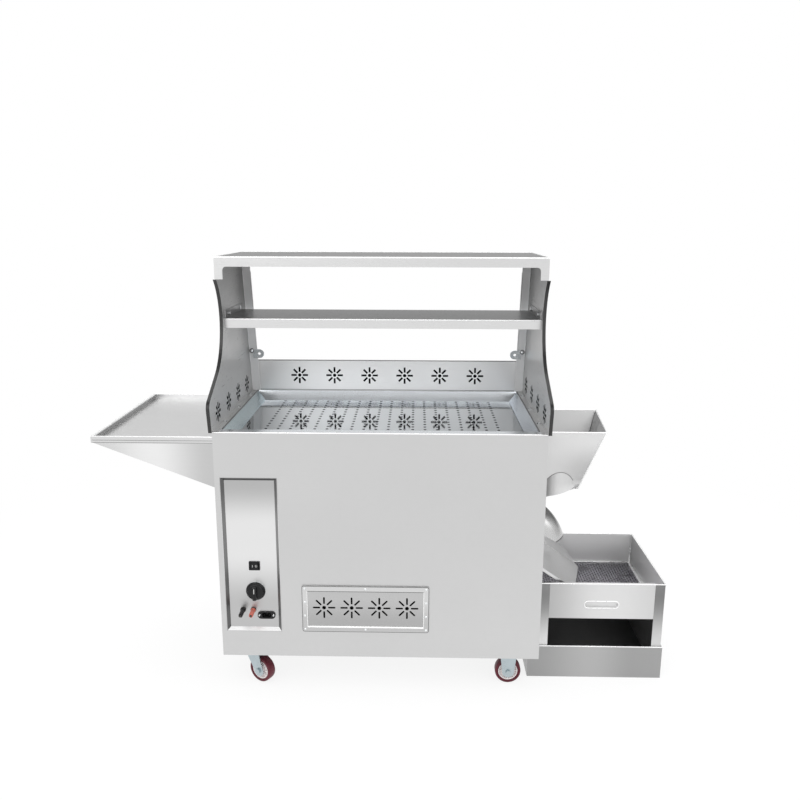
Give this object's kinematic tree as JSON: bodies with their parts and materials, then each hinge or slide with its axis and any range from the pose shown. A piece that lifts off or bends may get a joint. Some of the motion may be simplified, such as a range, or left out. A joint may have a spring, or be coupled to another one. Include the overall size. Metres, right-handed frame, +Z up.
{
  "type": "chestnut roaster cart",
  "caption": "Stainless drum roaster cart on castors with a warming tray under a curved shelf hood, side table, feed hopper, discharge chute and sieve stand.",
  "frame": {"origin": "on the floor, below the middle of the whole machine's box", "axes": "+X to the right seen from the front, +Y to the rear, +Z up"},
  "size_m": [1.604, 0.5846, 1.2235],
  "materials": {
    "stainless": "brushed stainless sheet",
    "bright_stainless": "bright stainless sheet",
    "zinc": "bright zinc plated steel",
    "dark_iron": "dark heat stained steel",
    "motor_paint": "dark machine paint",
    "brass": "plain brass",
    "black_gloss": "glossy black plastic",
    "black_matte": "matt black plastic",
    "red_plastic": "glossy red plastic",
    "castor_wheel": "dark red castor tyre on a pale core"
  },
  "bodies": {
    "cabinet": {"base_frame": "dark_iron", "bottom_pan": "stainless", "front_panel": "stainless", "left_side_panel": "stainless", "right_side_panel": "stainless", "rear_panel": "stainless", "control_recess": "stainless", "vent_cover": "bright_stainless", "vent_rivets": "zinc", "worktop_tray": "bright_stainless", "left_wing": "stainless", "right_wing": "stainless", "splash_back": "stainless", "top_shelf": "bright_stainless", "middle_shelf": "bright_stainless", "rear_lugs": "stainless", "hood_bolts": "zinc", "side_table": "bright_stainless", "table_gusset": "stainless", "hopper": "stainless", "discharge_hood": "stainless", "discharge_chute": "stainless", "drum_bulkhead": "stainless", "mouth_bulkhead": "stainless", "drum_bearing": "dark_iron", "motor_mount": "dark_iron", "gear_motor": "motor_paint", "roller_pins": "zinc", "burner": "dark_iron", "gas_pipe": "brass", "gas_valve": "brass", "gas_inlet": "brass", "switch_housing": "black_matte", "terminal_studs": "zinc", "power_inlet": "black_matte", "panel_screws": "zinc", "power_supply": "zinc", "swivel_plates": "zinc", "rigid_brackets": "zinc"},
    "drum": {"drum": "dark_iron", "drum_shaft": "zinc", "shaft_coupling": "zinc"},
    "front_roller": {"front_roller": "zinc"},
    "rear_roller": {"rear_roller": "zinc"},
    "gas_knob": {"gas_knob": "black_gloss", "valve_spindle": "zinc"},
    "switch_rocker": {"switch_rocker": "black_gloss"},
    "warming_plate": {"warming_plate": "bright_stainless"},
    "black_terminal_cap": {"black_terminal_cap": "black_gloss"},
    "red_terminal_cap": {"red_terminal_cap": "red_plastic"},
    "sieve_stand": {"sand_tray": "stainless", "sieve_frame": "stainless", "sieve_front": "bright_stainless", "sieve_mesh": "zinc"},
    "left_front_castor": {"left_front_fork": "zinc"},
    "left_rear_castor": {"left_rear_fork": "zinc"},
    "left_front_wheel": {"left_front_wheel": "castor_wheel"},
    "left_rear_wheel": {"left_rear_wheel": "castor_wheel"},
    "right_front_wheel": {"right_front_wheel": "castor_wheel"},
    "right_rear_wheel": {"right_rear_wheel": "castor_wheel"}
  },
  "joints": [
    {"name": "drum_spin", "type": "hinge", "parent": "cabinet", "child": "drum", "pos_m": [0, -0.02025, 0.5], "axis": [1, 0, 0], "continuous": true},
    {"name": "front_roller_spin", "type": "hinge", "parent": "cabinet", "child": "front_roller", "pos_m": [0.381, -0.12481, 0.35067], "axis": [1, 0, 0], "continuous": true},
    {"name": "rear_roller_spin", "type": "hinge", "parent": "cabinet", "child": "rear_roller", "pos_m": [0.381, 0.08431, 0.35067], "axis": [1, 0, 0], "continuous": true},
    {"name": "knob_turn", "type": "hinge", "parent": "cabinet", "child": "gas_knob", "pos_m": [-0.373, -0.25225, 0.302], "axis": [0, -1, 0], "range_deg": [0, 180]},
    {"name": "rocker_tip", "type": "hinge", "parent": "cabinet", "child": "switch_rocker", "pos_m": [-0.374, -0.24925, 0.378], "axis": [0, 0, 1], "range_deg": [-10, 10]},
    {"name": "plate_lift", "type": "slide", "parent": "cabinet", "child": "warming_plate", "axis": [0, 0, 1], "range_m": [0, 0.12]},
    {"name": "black_cap_turn", "type": "hinge", "parent": "cabinet", "child": "black_terminal_cap", "pos_m": [-0.411, -0.25225, 0.244], "axis": [0, -1, 0], "range_deg": [0, 720]},
    {"name": "red_cap_turn", "type": "hinge", "parent": "cabinet", "child": "red_terminal_cap", "pos_m": [-0.382, -0.25225, 0.244], "axis": [0, -1, 0], "range_deg": [0, 720]},
    {"name": "sieve_pull", "type": "slide", "parent": "cabinet", "child": "sieve_stand", "axis": [1, 0, 0], "range_m": [0, 0.45]},
    {"name": "left_front_swivel", "type": "hinge", "parent": "cabinet", "child": "left_front_castor", "pos_m": [-0.392, -0.20225, 0.095], "axis": [0, 0, 1], "continuous": true},
    {"name": "left_rear_swivel", "type": "hinge", "parent": "cabinet", "child": "left_rear_castor", "pos_m": [-0.392, 0.23175, 0.095], "axis": [0, 0, 1], "continuous": true},
    {"name": "left_front_roll", "type": "hinge", "parent": "left_front_castor", "child": "left_front_wheel", "pos_m": [-0.37035, -0.21475, 0.0375], "axis": [0.5, 0.866, 0], "continuous": true},
    {"name": "left_rear_roll", "type": "hinge", "parent": "left_rear_castor", "child": "left_rear_wheel", "pos_m": [-0.36851, 0.2403, 0.0375], "axis": [-0.342, 0.9397, 0], "continuous": true},
    {"name": "right_front_roll", "type": "hinge", "parent": "cabinet", "child": "right_front_wheel", "pos_m": [0.348, -0.20225, 0.0375], "axis": [0, 1, 0], "continuous": true},
    {"name": "right_rear_roll", "type": "hinge", "parent": "cabinet", "child": "right_rear_wheel", "pos_m": [0.348, 0.23175, 0.0375], "axis": [0, 1, 0], "continuous": true}
  ],
  "couplings": [
    {"joint": "front_roller_spin", "follows": "drum_spin", "ratio": -7.2727},
    {"joint": "rear_roller_spin", "follows": "drum_spin", "ratio": -7.2727}
  ]
}
